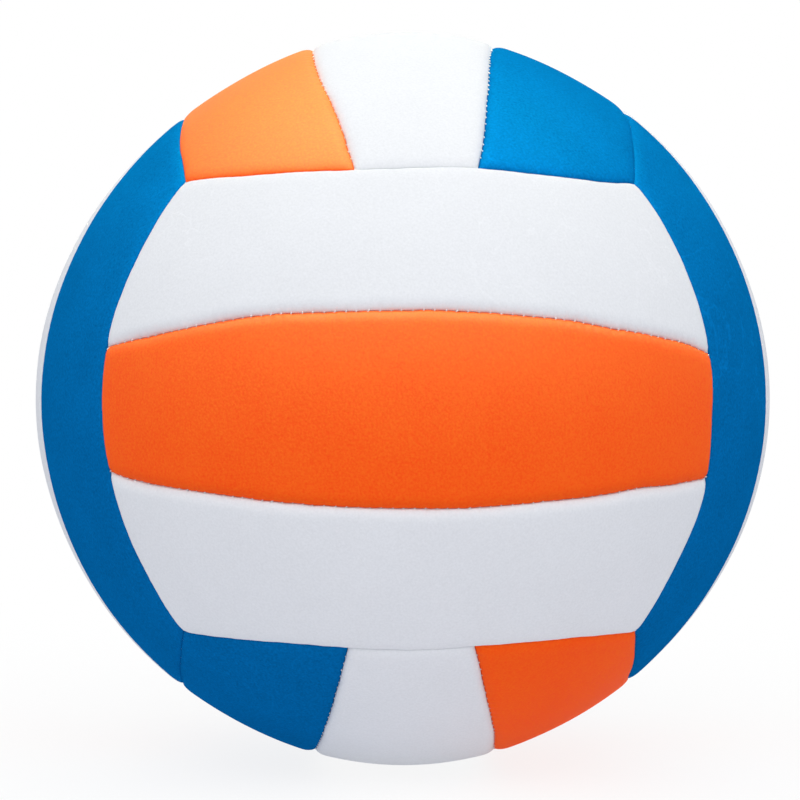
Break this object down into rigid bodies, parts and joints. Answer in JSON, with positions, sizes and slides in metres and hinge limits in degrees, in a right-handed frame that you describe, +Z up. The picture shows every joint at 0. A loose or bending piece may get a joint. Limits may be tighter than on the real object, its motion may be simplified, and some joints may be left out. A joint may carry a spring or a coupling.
{
  "type": "volleyball",
  "caption": "Sewn indoor volleyball: soft strips in white, orange and blue over foam pads, a rubber bladder and a needle valve with a plug that pulls out.",
  "frame": {"origin": "middle of the ball", "axes": "+Z up, -Y out of the front group of strips, +Y out of the valve in the middle of the back group"},
  "size_m": [0.21, 0.2099, 0.21],
  "materials": {
    "skin_white": "matte soft touch",
    "skin_orange": "matte soft touch",
    "skin_blue": "matte soft touch",
    "foam": "cloth-backed foam",
    "bladder_rubber": "matte",
    "valve_rubber": "matte",
    "plug_rubber": "satin",
    "patch_cloth": "woven",
    "thread": "twisted"
  },
  "bodies": {
    "ball": {"front_upper_skin": "skin_white", "front_middle_skin": "skin_orange", "front_lower_skin": "skin_white", "back_upper_skin": "skin_white", "back_middle_skin": "skin_blue", "back_lower_skin": "skin_white", "top_left_skin": "skin_orange", "top_middle_skin": "skin_white", "top_right_skin": "skin_blue", "bottom_left_skin": "skin_blue", "bottom_middle_skin": "skin_white", "bottom_right_skin": "skin_orange", "left_front_skin": "skin_blue", "left_middle_skin": "skin_white", "left_back_skin": "skin_orange", "right_front_skin": "skin_blue", "right_middle_skin": "skin_white", "right_back_skin": "skin_orange", "front_upper_pad": "foam", "front_middle_pad": "foam", "front_lower_pad": "foam", "back_upper_pad": "foam", "back_middle_pad": "foam", "back_lower_pad": "foam", "top_left_pad": "foam", "top_middle_pad": "foam", "top_right_pad": "foam", "bottom_left_pad": "foam", "bottom_middle_pad": "foam", "bottom_right_pad": "foam", "left_front_pad": "foam", "left_middle_pad": "foam", "left_back_pad": "foam", "right_front_pad": "foam", "right_middle_pad": "foam", "right_back_pad": "foam", "bladder": "bladder_rubber", "valve_stem": "valve_rubber", "valve_patch": "patch_cloth", "strip_seam_threads": "thread", "group_seam_threads": "thread"},
    "valve_plug": {"valve_plug": "plug_rubber"}
  },
  "joints": [
    {"name": "valve_plug_pull", "type": "slide", "parent": "ball", "child": "valve_plug", "axis": [0, 1, 0], "range_m": [0, 0.02]}
  ]
}
